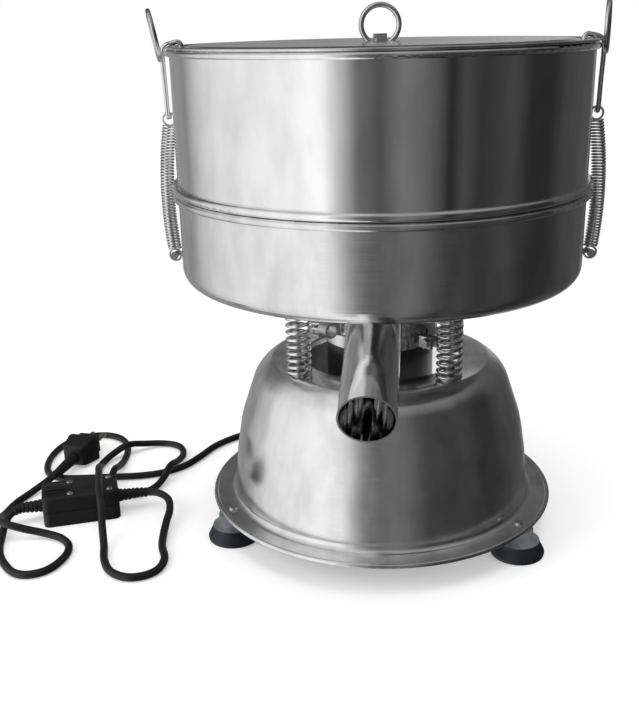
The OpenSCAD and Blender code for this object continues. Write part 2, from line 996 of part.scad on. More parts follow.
module plug_pins() {
    color([0.8, 0.7, 0.4])
    at_plug()
        for (y = [-6, 6])
            translate([58, y, 1.5])
                rotate([0, 90, 0]) {
                    cylinder(r = 2, h = 17.5, $fn = 32);
                    translate([0, 0, 17.5])
                        sphere(r = 2, $fn = 32);
                }
}

base_bowl();
foot_cups();
foot_screws();
spring_posts_lower();
support_springs();
spring_posts_upper();
cord_gland();
motor_lead();
base_tie();
pan();
spout();
lug_l();
lug_r();
motor_hanger();
hanger_bolts();
motor_shell();
motor_cap_top();
motor_cap_bottom();
stator_core();
bearings();
clamp_band();
clamp_bolt();
cable_clip();
clip_screw();
motor_shaft();
rotor_core();
weight_top();
weight_bottom();
weight_screws();
sieve_drum();
mesh_screen();
mesh_ring();
lid();
lid_ring();
lid_bolt();
pull_spring_l();
pull_spring_r();
spring_eye_l();
spring_eye_r();
latch_hook_l();
latch_hook_r();
latch_ring_l();
latch_ring_r();
cord_supply();
switch_shell_lower();
switch_shell_upper();
rocker();
switch_screws();
cord_plug_end();
plug_body();
plug_pins();
strain_relief_plug();
strain_relief_in();
strain_relief_out();
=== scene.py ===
# Vibrating sieve on its sprung pan and domed motor base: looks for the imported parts.
import math

import bmesh
import bpy
from mathutils import Matrix, Vector
from mathutils.geometry import interpolate_bezier


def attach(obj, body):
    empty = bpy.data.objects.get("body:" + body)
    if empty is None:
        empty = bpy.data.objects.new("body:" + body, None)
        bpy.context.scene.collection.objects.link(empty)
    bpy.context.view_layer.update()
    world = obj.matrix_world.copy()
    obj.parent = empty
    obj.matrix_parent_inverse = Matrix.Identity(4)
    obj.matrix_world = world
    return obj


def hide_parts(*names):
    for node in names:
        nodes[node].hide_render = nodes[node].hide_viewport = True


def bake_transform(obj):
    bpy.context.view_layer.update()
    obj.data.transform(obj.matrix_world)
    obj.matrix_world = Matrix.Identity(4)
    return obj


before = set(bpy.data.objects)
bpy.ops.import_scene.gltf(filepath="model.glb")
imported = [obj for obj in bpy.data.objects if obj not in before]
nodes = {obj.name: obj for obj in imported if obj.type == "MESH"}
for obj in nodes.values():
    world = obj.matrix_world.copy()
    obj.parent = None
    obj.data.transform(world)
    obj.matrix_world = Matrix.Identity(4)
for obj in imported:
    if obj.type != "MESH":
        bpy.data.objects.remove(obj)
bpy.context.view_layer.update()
mm = 0.001


def linear(hexColour):
    # sRGB hex to the linear colour that shader sockets take
    parts = [int(hexColour[i:i + 2], 16) / 255 for i in (1, 3, 5)]
    return [c / 12.92 if c < 0.04045 else ((c + 0.055) / 1.055) ** 2.4 for c in parts] + [1]


def addNode(tree, kind, settings=None, links=None):
    # one shader node with its values and what feeds it
    node = tree.nodes.new(kind)
    for key, value in (settings or {}).items():
        if isinstance(key, int) or key in node.inputs:
            node.inputs[key].default_value = value
        else:
            setattr(node, key, value)
    for key, socket in (links or {}).items():
        tree.links.new(socket, node.inputs[key])
    return node


def newMaterial(name):
    material = bpy.data.materials.new(name)
    material.use_nodes = True
    material.node_tree.nodes.clear()
    return material, material.node_tree


cameraSettings = {"place": (0, -735.2, 388.6), "yaw": 3.78, "pitch": 19.3, "roll": 1.23, "lens": 48.5}


def makeCamera(settings):
    yaw, pitch, roll = (math.radians(settings[k]) for k in ("yaw", "pitch", "roll"))
    look = Vector((-math.sin(yaw) * math.cos(pitch), math.cos(yaw) * math.cos(pitch), -math.sin(pitch)))
    level = Vector((math.cos(yaw), math.sin(yaw), 0))
    up = level.cross(look)
    right = math.cos(roll) * level - math.sin(roll) * up
    top = math.sin(roll) * level + math.cos(roll) * up
    camera = bpy.data.objects.new("camera", bpy.data.cameras.new("camera"))
    bpy.context.collection.objects.link(camera)
    camera.matrix_world = Matrix((right, top, -look)).transposed().to_4x4()
    camera.location = Vector(settings["place"]) * mm
    camera.data.lens = settings["lens"]
    camera.data.sensor_width = 36
    bpy.context.scene.camera = camera


makeCamera(cameraSettings)
print("camera placed")


def objectPlace(tree):
    # the point on the object in metres
    return addNode(tree, "ShaderNodeTexCoord").outputs["Object"]


def patternSpace(tree, stretch, turn=(0, 0, 0)):
    return addNode(tree, "ShaderNodeMapping", {"Scale": stretch, "Rotation": turn},
                   {"Vector": objectPlace(tree)}).outputs["Vector"]


def roundSpace(tree, grain, drift):
    # radius and height in grains, and the angle drawn out, for lines that run round the axis
    place = addNode(tree, "ShaderNodeSeparateXYZ", links={0: objectPlace(tree)})
    flat = addNode(tree, "ShaderNodeVectorMath", {"operation": "MULTIPLY", 1: (1, 1, 0)},
                   {0: objectPlace(tree)})
    radius = addNode(tree, "ShaderNodeVectorMath", {"operation": "LENGTH"}, {0: flat.outputs[0]})
    angle = addNode(tree, "ShaderNodeMath", {"operation": "ARCTAN2"},
                    {0: place.outputs["X"], 1: place.outputs["Y"]})
    joined = addNode(tree, "ShaderNodeCombineXYZ", links={
        0: radius.outputs["Value"], 1: place.outputs["Z"], 2: angle.outputs[0]})
    return addNode(tree, "ShaderNodeMapping", {"Scale": (1 / grain / mm, 1 / grain / mm, drift)},
                   {"Vector": joined.outputs[0]}).outputs["Vector"]


def steelFinish(name, look):
    # stainless sheet or wire: a grain of fine lines, slow waves and faint streaks in its shine
    material, tree = newMaterial(name)
    if look["lay"] == "round":
        space = roundSpace(tree, look["grain"], look["drift"])
    else:
        space = patternSpace(tree, [1 / look["grain"] / mm] * 3)
    lines = addNode(tree, "ShaderNodeTexNoise", {"Scale": 1, "Detail": 2, "Roughness": 0.6},
                    {"Vector": space})
    across = 1 / look["wave"] / mm
    waves = addNode(tree, "ShaderNodeTexNoise", {"Scale": 1, "Detail": 1},
                    {"Vector": patternSpace(tree, [across, across, 0.35 * across])})
    smudge = addNode(tree, "ShaderNodeTexNoise", {"Scale": 1, "Detail": 3},
                     {"Vector": patternSpace(tree, [55, 55, 22])})
    mixed = addNode(tree, "ShaderNodeMath", {"operation": "MULTIPLY_ADD", 1: 0.45},
                    {0: smudge.outputs["Fac"]})
    tree.links.new(lines.outputs["Fac"], mixed.inputs[2])
    shine = addNode(tree, "ShaderNodeMapRange", {
        "From Min": 0.5, "From Max": 1.0, "To Min": look["rough"] - look["spread"],
        "To Max": look["rough"] + look["spread"]}, {"Value": mixed.outputs[0]})
    tint = addNode(tree, "ShaderNodeValToRGB", links={"Fac": smudge.outputs["Fac"]})
    tint.color_ramp.elements[0].position = 0.3
    tint.color_ramp.elements[0].color = linear(look["dark"])
    tint.color_ramp.elements[1].position = 0.62
    tint.color_ramp.elements[1].color = linear(look["light"])
    slow = addNode(tree, "ShaderNodeBump", {"Strength": 1, "Distance": look["waveDepth"] * mm},
                   {"Height": waves.outputs["Fac"]})
    fine = addNode(tree, "ShaderNodeBump", {"Strength": look["grainStrength"], "Distance": 0.05 * mm},
                   {"Height": lines.outputs["Fac"], "Normal": slow.outputs[0]})
    shader = addNode(tree, "ShaderNodeBsdfPrincipled", {
        "Metallic": 1.0, "Anisotropic": look["draw"], "Anisotropic Rotation": look["drawTurn"]}, {
        "Base Color": tint.outputs["Color"], "Roughness": shine.outputs[0], "Normal": fine.outputs[0]})
    if look["draw"]:
        tangent = addNode(tree, "ShaderNodeTangent", {"direction_type": "RADIAL", "axis": "Z"})
        tree.links.new(tangent.outputs[0], shader.inputs["Tangent"])
    addNode(tree, "ShaderNodeOutputMaterial", links={"Surface": shader.outputs[0]})
    return material


def mouldedFinish(name, look):
    # plastic, rubber or paint: a fine skin of texture and a slight unevenness of colour
    material, tree = newMaterial(name)
    skin = addNode(tree, "ShaderNodeTexNoise", {"Scale": 1, "Detail": 3},
                   {"Vector": patternSpace(tree, [1 / look["grain"] / mm] * 3)})
    patches = addNode(tree, "ShaderNodeTexNoise", {"Scale": 1, "Detail": 2},
                      {"Vector": patternSpace(tree, [40] * 3)})
    tint = addNode(tree, "ShaderNodeValToRGB", links={"Fac": patches.outputs["Fac"]})
    tint.color_ramp.elements[0].position = 0.3
    tint.color_ramp.elements[0].color = linear(look["dark"])
    tint.color_ramp.elements[1].position = 0.7
    tint.color_ramp.elements[1].color = linear(look["light"])
    shine = addNode(tree, "ShaderNodeMapRange", {
        "From Min": 0.3, "From Max": 0.7, "To Min": look["rough"] - 0.06, "To Max": look["rough"] + 0.08},
        {"Value": skin.outputs["Fac"]})
    bumps = addNode(tree, "ShaderNodeBump", {"Strength": look["bump"], "Distance": 0.2 * mm},
                    {"Height": skin.outputs["Fac"]})
    shader = addNode(tree, "ShaderNodeBsdfPrincipled", {
        "Metallic": look["metal"], "IOR": look["ior"], "Coat Weight": look["coat"]}, {
        "Base Color": tint.outputs["Color"], "Roughness": shine.outputs[0], "Normal": bumps.outputs[0]})
    addNode(tree, "ShaderNodeOutputMaterial", links={"Surface": shader.outputs[0]})
    return material


def layeredFinish(name, look):
    # stacked motor sheets: bright and dark lines a sheet apart, lying level
    material, tree = newMaterial(name)
    sheets = addNode(tree, "ShaderNodeTexWave", {
        "bands_direction": "Z", "Scale": 1, "Distortion": 0.4},
        {"Vector": patternSpace(tree, [1 / look["sheet"] / mm / 6] * 3)})
    tint = addNode(tree, "ShaderNodeValToRGB", links={"Fac": sheets.outputs["Fac"]})
    tint.color_ramp.elements[0].color = linear(look["dark"])
    tint.color_ramp.elements[1].color = linear(look["light"])
    ridges = addNode(tree, "ShaderNodeBump", {"Strength": 0.5, "Distance": 0.1 * mm},
                     {"Height": sheets.outputs["Fac"]})
    shader = addNode(tree, "ShaderNodeBsdfPrincipled", {"Metallic": 1.0, "Roughness": look["rough"]}, {
        "Base Color": tint.outputs["Color"], "Normal": ridges.outputs[0]})
    addNode(tree, "ShaderNodeOutputMaterial", links={"Surface": shader.outputs[0]})
    return material


def wovenFinish(name, look):
    # woven wire screen: two sets of wires, drawn 1.5 mm apart, coarser than the real 0.5 mm
    material, tree = newMaterial(name)
    space = patternSpace(tree, [1 / look["pitch"] / mm / 3.2] * 3)
    wires = [addNode(tree, "ShaderNodeTexWave", {"bands_direction": d, "Scale": 1}, {"Vector": space})
             for d in "XY"]
    weave = addNode(tree, "ShaderNodeMath", {"operation": "MAXIMUM"},
                    {0: wires[0].outputs["Fac"], 1: wires[1].outputs["Fac"]})
    tint = addNode(tree, "ShaderNodeValToRGB", links={"Fac": weave.outputs[0]})
    tint.color_ramp.elements[0].position = 0.35
    tint.color_ramp.elements[0].color = linear(look["dark"])
    tint.color_ramp.elements[1].position = 0.6
    tint.color_ramp.elements[1].color = linear(look["light"])
    ridges = addNode(tree, "ShaderNodeBump", {"Strength": 0.8, "Distance": 0.3 * mm},
                     {"Height": weave.outputs[0]})
    shader = addNode(tree, "ShaderNodeBsdfPrincipled", {"Metallic": 1.0, "Roughness": look["rough"]}, {
        "Base Color": tint.outputs["Color"], "Normal": ridges.outputs[0]})
    addNode(tree, "ShaderNodeOutputMaterial", links={"Surface": shader.outputs[0]})
    return material


finishes = {
    # cold-rolled sheet, mirror polished: clear reflections that bend over slow dents
    "polishedDrum": steelFinish("polishedDrumSteel", {
        "lay": "round", "grain": 0.9, "drift": 1.5, "grainStrength": 0.04, "wave": 60, "waveDepth": 0.3,
        "rough": 0.07, "spread": 0.02, "dark": "#E2E2E3", "light": "#F2F2F2",
        "draw": 0.0, "drawTurn": 0.0}),
    # deep-drawn sheet, satin: the same room, smeared up and down by lines round the axis
    "satinPan": steelFinish("satinPanSteel", {
        "lay": "round", "grain": 0.8, "drift": 2, "grainStrength": 0.06, "wave": 40, "waveDepth": 0.3,
        "rough": 0.19, "spread": 0.04, "dark": "#D6D6D7", "light": "#EDEDED",
        "draw": 0.5, "drawTurn": 0.0}),
    # spun sheet, satin: long soft streaks from the lip to the top
    "spunBowl": steelFinish("spunBowlSteel", {
        "lay": "round", "grain": 0.8, "drift": 3, "grainStrength": 0.05, "wave": 30, "waveDepth": 0.35,
        "rough": 0.22, "spread": 0.04, "dark": "#DADADB", "light": "#F2F2F2",
        "draw": 0.5, "drawTurn": 0.0}),
    # fine-polished stainless: lid, motor hanger, rings
    "fineSteel": steelFinish("finePolishedSteel", {
        "lay": "round", "grain": 0.8, "drift": 2, "grainStrength": 0.2, "wave": 45, "waveDepth": 0.2,
        "rough": 0.2, "spread": 0.06, "dark": "#CBCBCC", "light": "#ECECEC", "draw": 0.3, "drawTurn": 0.0}),
    # bright nickel on drawn wire: hard glints
    "brightWire": steelFinish("brightNickelWire", {
        "lay": "all", "grain": 1.2, "drift": 1, "grainStrength": 0.15, "wave": 20, "waveDepth": 0.02,
        "rough": 0.14, "spread": 0.05, "dark": "#BDBDBE", "light": "#E8E8E8", "draw": 0, "drawTurn": 0.0}),
    # oil-tempered spring wire, plated: a little darker than the wire forms
    "springWire": steelFinish("platedSpringWire", {
        "lay": "all", "grain": 1, "drift": 1, "grainStrength": 0.2, "wave": 20, "waveDepth": 0.02,
        "rough": 0.16, "spread": 0.05, "dark": "#C4C4C5", "light": "#EDEDED", "draw": 0, "drawTurn": 0.0}),
    # zinc-plated fasteners: soft grey shine
    "zincPlate": steelFinish("zincPlatedSteel", {
        "lay": "all", "grain": 0.9, "drift": 1, "grainStrength": 0.3, "wave": 12, "waveDepth": 0.02,
        "rough": 0.34, "spread": 0.08, "dark": "#A3A3A5", "light": "#CFCFD0", "draw": 0, "drawTurn": 0.0}),
    # nickel-plated brass pins
    "pinNickel": steelFinish("platedBrassPins", {
        "lay": "all", "grain": 0.9, "drift": 1, "grainStrength": 0.15, "wave": 12, "waveDepth": 0.02,
        "rough": 0.2, "spread": 0.05, "dark": "#B9B4A4", "light": "#D9D5C8", "draw": 0, "drawTurn": 0.0}),
    "castWeight": mouldedFinish("castIronWeight", {
        "grain": 0.9, "bump": 0.6, "rough": 0.55, "dark": "#3A3A3C", "light": "#4E4E50", "metal": 1.0,
        "ior": 1.45, "coat": 0.0}),
    "motorPaint": mouldedFinish("blackStovedPaint", {
        "grain": 1.4, "bump": 0.15, "rough": 0.35, "dark": "#131314", "light": "#1C1C1E", "metal": 0.0,
        "ior": 1.5, "coat": 0.3}),
    "cordVinyl": mouldedFinish("blackVinylCord", {
        "grain": 0.7, "bump": 0.2, "rough": 0.45, "dark": "#101011", "light": "#1B1B1C", "metal": 0.0,
        "ior": 1.5, "coat": 0.0}),
    "mouldedBlack": mouldedFinish("mouldedBlackPlastic", {
        "grain": 0.6, "bump": 0.35, "rough": 0.5, "dark": "#0F0F10", "light": "#19191A", "metal": 0.0,
        "ior": 1.5, "coat": 0.0}),
    "glossBlack": mouldedFinish("glossBlackPlastic", {
        "grain": 2.0, "bump": 0.05, "rough": 0.16, "dark": "#0C0C0D", "light": "#141415", "metal": 0.0,
        "ior": 1.5, "coat": 0.2}),
    "footRubber": mouldedFinish("blueBlackRubber", {
        "grain": 0.8, "bump": 0.25, "rough": 0.5, "dark": "#12161D", "light": "#1D232D", "metal": 0.0,
        "ior": 1.5, "coat": 0.0}),
    "footTop": mouldedFinish("greySoftVinyl", {
        "grain": 0.8, "bump": 0.2, "rough": 0.4, "dark": "#5D6268", "light": "#7E8489", "metal": 0.0,
        "ior": 1.5, "coat": 0.0}),
    "motorSheets": layeredFinish("laminatedMotorSheets", {
        "sheet": 0.5, "rough": 0.45, "dark": "#3B3B3D", "light": "#77777A"}),
    "screenWeave": wovenFinish("wovenScreenWire", {
        "pitch": 1.5, "rough": 0.3, "dark": "#2A2A2B", "light": "#C9C9CA"}),
}
print("finishes made")

partFinish = {
    "satinPan": ["pan"],
    "polishedDrum": ["sieve_drum", "spout"],
    "fineSteel": ["lid", "mesh_ring", "motor_hanger", "motor_cap_top", "motor_cap_bottom", "clamp_band"],
    "brightWire": ["lid_ring", "latch_ring_l", "latch_ring_r"],
    "springWire": ["spring_eye_l", "spring_eye_r", "bearings", "motor_shaft"],
    "zincPlate": ["foot_screws", "spring_posts_lower", "spring_posts_upper", "base_tie", "lug_l", "lug_r",
                  "hanger_bolts", "clamp_bolt", "cable_clip", "clip_screw", "weight_screws", "lid_bolt",
                  "switch_screws"],
    "castWeight": ["weight_top", "weight_bottom"],
    "motorPaint": ["motor_shell"],
    "motorSheets": ["stator_core", "rotor_core"],
    "screenWeave": ["mesh_screen"],
    "cordVinyl": ["motor_lead"],
    "mouldedBlack": ["cord_gland"],
    "pinNickel": ["plug_pins"],
}
for finish, names in partFinish.items():
    for name in names:
        for material in nodes[name].material_slots:
            material.material = finishes[finish]


def pieceFrom(bm, name, finish, body, replaces=(), sharp=35):
    # a mesh piece that rides on a body and stands for the CAD nodes named
    mesh = bpy.data.meshes.new(name)
    bm.to_mesh(mesh)
    bm.free()
    for polygon in mesh.polygons:
        polygon.use_smooth = True
    mesh.set_sharp_from_angle(angle=math.radians(sharp))
    piece = bpy.data.objects.new(name, mesh)
    bpy.context.collection.objects.link(piece)
    mesh.materials.append(finishes[finish])
    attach(piece, body)
    if replaces:
        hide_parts(*replaces)
    return piece


def wireMesh(name, route, radius, sides=2, smooth=True, taper=None):
    # a round wire along a route, made a mesh; taper gives each point's share of the radius
    curve = bpy.data.curves.new(name, "CURVE")
    curve.dimensions = "3D"
    curve.bevel_depth = radius * mm
    curve.bevel_resolution = sides
    curve.resolution_u = 6
    curve.use_fill_caps = True
    spline = curve.splines.new("BEZIER" if smooth else "POLY")
    points = spline.bezier_points if smooth else spline.points
    points.add(len(route) - 1)
    for point, place in zip(points, route):
        point.co = Vector(place) * mm if smooth else (Vector(place) * mm).to_4d()
        if smooth:
            point.handle_left_type = point.handle_right_type = "AUTO"
    for point, share in zip(points, taper or []):
        point.radius = share
    holder = bpy.data.objects.new(name, curve)
    bpy.context.collection.objects.link(holder)
    mesh = bpy.data.meshes.new_from_object(holder.evaluated_get(bpy.context.evaluated_depsgraph_get()))
    bpy.data.objects.remove(holder)
    bpy.data.curves.remove(curve)
    return mesh


def joinMeshes(name, meshes, finish):
    bm = bmesh.new()
    for mesh in meshes:
        bm.from_mesh(mesh)
        bpy.data.meshes.remove(mesh)
    bmesh.ops.remove_doubles(bm, verts=bm.verts, dist=1e-7)
    bmesh.ops.recalc_face_normals(bm, faces=bm.faces)
    mesh = bpy.data.meshes.new(name)
    bm.to_mesh(mesh)
    bm.free()
    for polygon in mesh.polygons:
        polygon.use_smooth = True
    mesh.materials.append(finishes[finish])
    piece = bpy.data.objects.new(name, mesh)
    bpy.context.collection.objects.link(piece)
    return piece


cordSettings = {
    "radius": 3.1,
    # from the base's gland over the floor to the switch
    "supply": [
        (-73, 118, 48), (-79, 128, 46), (-87, 139, 38), (-97, 147, 25), (-109, 149, 12),
        (-123, 145, 5), (-141, 134, 3.2), (-158, 113, 3.2), (-169, 88, 3.2), (-180, 68, 3.2),
        (-195, 55, 3.2), (-212, 48, 3.2), (-230, 45, 3.2), (-250, 43, 3.2), (-268, 41, 3.2),
        (-286, 41, 3.2), (-301, 50, 3.2), (-309, 71, 3.2), (-310, 97, 3.2), (-304, 118, 3.2),
        (-291, 132, 3.2), (-273, 137, 3.2), (-256, 130, 3.2), (-245, 114, 3.2), (-240, 95, 3.2),
        (-239, 76, 3.2), (-239, 60, 6), (-239, 45, 9.9), (-238, 30, 6), (-230, 16, 3.2),
        (-214, 11, 3.2), (-200, 20, 3.2), (-193, 37, 5.5), (-190, 54, 9.9), (-187, 74, 5.5),
        (-186, 94, 3.2), (-193, 111, 3.2), (-209, 118, 3.2), (-226, 111, 6), (-240, 99, 9.9),
        (-251, 86, 6.5), (-257, 71, 4), (-256, 56, 6), (-253, 43, 10.5), (-248, 29, 18),
        (-243, 15, 27), (-239, 1, 30.5), (-234, -17, 30.5), (-229, -35, 30), (-224, -50, 24),
        (-220, -64, 12), (-215, -80, 4.5), (-210, -98, 3.2), (-200, -115, 3.2), (-184, -122, 3.2),
        (-168, -114, 3.2), (-164, -96, 3.2), (-170, -76, 3.4), (-172.5, -57, 4.6), (-173.4, -41, 6.6),
        (-173.6, -27, 9), (-178, -12.8, 11.4), (-188.6, -4.8, 12.8), (-202.4, -4.6, 13),
        (-211, -7.4, 13)],
    # from the switch's other end to the plug
    "plugEnd": [
        (-289.1, -32.7, 13), (-294.8, -34.6, 13), (-300.3, -38.4, 12), (-303.8, -45, 9.6),
        (-304, -53, 6.8), (-302, -66, 3.6), (-296, -87, 3.2), (-285, -106, 3.2), (-269, -120, 3.2),
        (-252, -116, 3.2), (-243, -99, 3.2), (-243, -80, 3.2), (-253, -67, 3.6), (-269, -62, 5.4),
        (-285, -63, 9.6), (-299.5, -62, 13.4), (-309.5, -51, 10.8), (-313, -30, 4.2), (-311, -7, 3.2),
        (-304, 11, 4), (-295, 25, 7.6), (-288.5, 38, 10), (-287, 47, 10)],
}


def smoothRoute(route, radius, steps=7):
    # closely spaced points on one smooth line through the route, never below the floor
    places = [Vector(place) for place in route]
    last = len(places) - 1
    headings = [(places[min(i + 1, last)] - places[max(i - 1, 0)]).normalized() for i in range(last + 1)]
    line = []
    for i in range(last):
        reach = (places[i + 1] - places[i]).length / 3
        line += interpolate_bezier(places[i], places[i] + headings[i] * reach,
                                   places[i + 1] - headings[i + 1] * reach, places[i + 1], steps + 1)[:-1]
    line.append(places[-1])
    for point in line:
        point.z = max(point.z, radius + 0.05)
    return line


def lineLength(line):
    return sum((b - a).length for a, b in zip(line, line[1:])) * mm


def makeCord(name, line, node):
    piece = joinMeshes(name, [wireMesh(name, line, cordSettings["radius"], 3, False)], "cordVinyl")
    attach(piece, "base")
    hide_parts(node)
    piece.visible_glossy = False
    return piece


supplyLine = smoothRoute(cordSettings["supply"], cordSettings["radius"])
plugLine = smoothRoute(cordSettings["plugEnd"], cordSettings["radius"])
supplyCord = makeCord("supplyCord", supplyLine, "cord_supply")
plugCord = makeCord("plugCord", plugLine, "cord_plug_end")
print("cords laid", round(lineLength(supplyLine), 4), round(lineLength(plugLine), 4))


def roundedLine(bm, corners):
    # a wire line in the x-z plane, each corner (x, z, radius) rounded in 8 steps
    points = [bm.verts.new((x * mm, 0, z * mm)) for x, z, radius in corners]
    for first, second in zip(points, points[1:]):
        bm.edges.new((first, second))
    for i in range(1, len(corners) - 1):
        radius = corners[i][2]
        if radius:
            before = Vector(corners[i - 1][:2]) - Vector(corners[i][:2])
            after = Vector(corners[i + 1][:2]) - Vector(corners[i][:2])
            reach = radius / math.tan(before.angle(after) / 2)
            bmesh.ops.bevel(bm, geom=[points[i]], offset=reach * mm, offset_type="OFFSET", segments=8,
                            profile=0.5, affect="VERTICES", material=-1)


def spinRound(bm, steps=128):
    bmesh.ops.spin(bm, geom=bm.verts[:] + bm.edges[:], cent=(0, 0, 0), axis=(0, 0, 1),
                   angle=2 * math.pi, steps=steps, use_merge=True)
    bmesh.ops.remove_doubles(bm, verts=bm.verts, dist=1e-6)
    bmesh.ops.recalc_face_normals(bm, faces=bm.faces)


def addRing(bm, radius, wire, height, steps=128):
    # a full rolled bead round the axis
    ring = bmesh.ops.create_circle(bm, segments=16, radius=wire * mm,
                                   matrix=Matrix.Translation((radius * mm, 0, height * mm))
                                   @ Matrix.Rotation(math.radians(90), 4, "X"))
    edges = list({e for v in ring["verts"] for e in v.link_edges})
    bmesh.ops.spin(bm, geom=ring["verts"] + edges, cent=(0, 0, 0), axis=(0, 0, 1),
                   angle=2 * math.pi, steps=steps, use_merge=True)
    bmesh.ops.remove_doubles(bm, verts=bm.verts, dist=1e-6)
    bmesh.ops.recalc_face_normals(bm, faces=bm.faces)


bowl = {
    # radius, height, rounding: up the wall from the lip, over the flat top and down its collar
    "line": [(134.6, 24.6, 0), (119.2, 24.6, 6), (117.2, 58, 130), (112.2, 88, 70), (97.6, 130.9, 29),
             (85.9, 136.7, 1.2), (84, 137, 0), (62, 137, 1.5), (62, 132, 0)],
    "sheet": 1.2, "beadRadius": 136, "bead": 2, "beadHeight": 24,
}


def makeBowl():
    bm = bmesh.new()
    roundedLine(bm, bowl["line"])
    spinRound(bm, 180)
    top = max(bm.faces, key=lambda f: f.calc_center_median().z)
    if top.normal.z < 0:
        bmesh.ops.reverse_faces(bm, faces=bm.faces)
    bmesh.ops.solidify(bm, geom=bm.faces[:], thickness=bowl["sheet"] * mm)
    addRing(bm, bowl["beadRadius"], bowl["bead"], bowl["beadHeight"], 180)
    return pieceFrom(bm, "spunBowl", "spunBowl", "base", ["base_bowl"], 60)


makeBowl()

foot = {"angles": [60, 180, 300], "turn": -5, "circle": 128,
        "cup": [(0, 5, 0), (8, 4.5, 3), (17, 0.1, 1), (20, 0, 1), (20.6, 3, 1), (17, 10, 2), (16.6, 12, 0)],
        "neck": [(16.6, 12, 0), (13, 13.5, 1), (11.5, 16, 1), (11.5, 21.8, 1), (5.6, 21.9, 0),
                 (5.6, 23.4, 0), (0, 23.4, 0)]}


def makeFeet():
    # suction cups below, softer grey necks above
    bm = bmesh.new()
    for angle in foot["angles"]:
        one = bmesh.new()
        roundedLine(one, foot["cup"])
        spinRound(one, 48)
        below = len(one.faces)
        roundedLine(one, foot["neck"])
        extra = [e for e in one.edges if not e.link_faces]
        bmesh.ops.spin(one, geom=extra + list({v for e in extra for v in e.verts}), cent=(0, 0, 0),
                       axis=(0, 0, 1), angle=2 * math.pi, steps=48, use_merge=True)
        one.faces.ensure_lookup_table()
        for face in one.faces[below:]:
            face.material_index = 1
        bmesh.ops.remove_doubles(one, verts=one.verts, dist=1e-6)
        bmesh.ops.recalc_face_normals(one, faces=one.faces)
        turn = math.radians(angle + foot["turn"])
        bmesh.ops.translate(one, verts=one.verts, vec=(math.sin(turn) * foot["circle"] * mm,
                                                       -math.cos(turn) * foot["circle"] * mm, 0))
        spare = bpy.data.meshes.new("spare")
        one.to_mesh(spare)
        one.free()
        bm.from_mesh(spare)
        bpy.data.meshes.remove(spare)
    piece = pieceFrom(bm, "suctionFeet", "footRubber", "base", ["foot_cups"])
    piece.data.materials.append(finishes["footTop"])


makeFeet()
print("bowl and feet made")


supportSpring = {"circle": 79, "angles": [40, 130, 220, 310], "radius": 8.5, "wire": 1.3, "turns": 13,
                 "low": 138.4, "high": 202.7, "steps": 20}


def makeSupportSprings():
    # open coils with a closed turn at each end
    s = supportSpring
    meshes = []
    for angle in s["angles"]:
        centre = Vector((math.sin(math.radians(angle)), -math.cos(math.radians(angle)), 0)) * s["circle"]
        route = []
        count = s["turns"] * s["steps"]
        dead = 2.7 / (s["high"] - s["low"])
        for i in range(count + 1):
            turn = i / s["steps"]
            if turn < 1:
                rise = dead * turn
            elif turn > s["turns"] - 1:
                rise = 1 - dead * (s["turns"] - turn)
            else:
                rise = dead + (1 - 2 * dead) * (turn - 1) / (s["turns"] - 2)
            around = 2 * math.pi * turn
            route.append(centre + Vector((s["radius"] * math.cos(around), s["radius"] * math.sin(around),
                                          s["low"] + rise * (s["high"] - s["low"]))))
        meshes.append(wireMesh("coil", route, s["wire"], 2, False))
    piece = joinMeshes("supportCoils", meshes, "springWire")
    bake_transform(piece)
    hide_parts("support_springs")


makeSupportSprings()

pullSpring = {"lowX": 159.5, "highX": 157.2, "low": 222.6, "high": 316.5, "radius": 4.7, "wire": 0.8,
              "turns": 43, "bow": 3.6, "steps": 14, "eye": 4.6, "lugHeight": 218}


def makePullSprings():
    # tight coils that bow outwards; each spring is cut at half height into a lower and an upper piece
    s = pullSpring
    for side, tag in ((1, "r"), (-1, "l")):
        count = s["turns"] * s["steps"]
        route = []
        for i in range(count + 1):
            t = i / count
            around = 2 * math.pi * i / s["steps"]
            middle = s["lowX"] + (s["highX"] - s["lowX"]) * t + s["bow"] * 4 * t * (1 - t)
            route.append(Vector((side * (middle + s["radius"] * math.cos(around)),
                                 s["radius"] * math.sin(around), s["low"] + (s["high"] - s["low"]) * t)))
        half = len(route) // 2
        loop = []
        for k in range(25):
            a = math.radians(15 * k)
            loop.append(Vector((side * (s["lowX"] + s["eye"] * math.sin(a)), 0,
                                s["lugHeight"] - s["eye"] * math.cos(a))))
        lower = joinMeshes("pullSpringLower_" + tag, [
            wireMesh("coil", route[:half + 1], s["wire"], 1, False),
            wireMesh("loop", loop, s["wire"], 2, False)], "springWire")
        upper = joinMeshes("pullSpringUpper_" + tag,
                           [wireMesh("coil", route[half:], s["wire"], 1, False)], "springWire")
        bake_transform(lower)
        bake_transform(upper)
        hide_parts("pull_spring_" + tag)


makePullSprings()

hook = {
    "wire": 1.75,
    # from the pin in the spring's eye, up the rod and over the drum's rim
    "route": [(157.2, 3.2, 322.75), (157.2, -1.4, 322.75), (157.2, -3, 323.45), (157.2, -3.6, 325.15),
              (157.6, -3.6, 343.1), (158.2, -3.6, 366.1), (158, -3.6, 370.1), (156.6, -3.6, 372.7),
              (148.4, -3.6, 375.6), (146.2, -3.6, 375.8), (144.5, -3.6, 374.7), (143.8, -3.6, 372.9),
              (143.7, -3.6, 370.5)],
}


def makeHooks():
    for side, tag in ((1, "r"), (-1, "l")):
        piece = joinMeshes("latchHook_" + tag, [wireMesh("rod", [
            (side * x, y, z) for x, y, z in hook["route"]], hook["wire"], 4)], "brightWire")
        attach(piece, "latch_" + tag)
        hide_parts("latch_hook_" + tag)


makeHooks()
print("springs and hooks made")


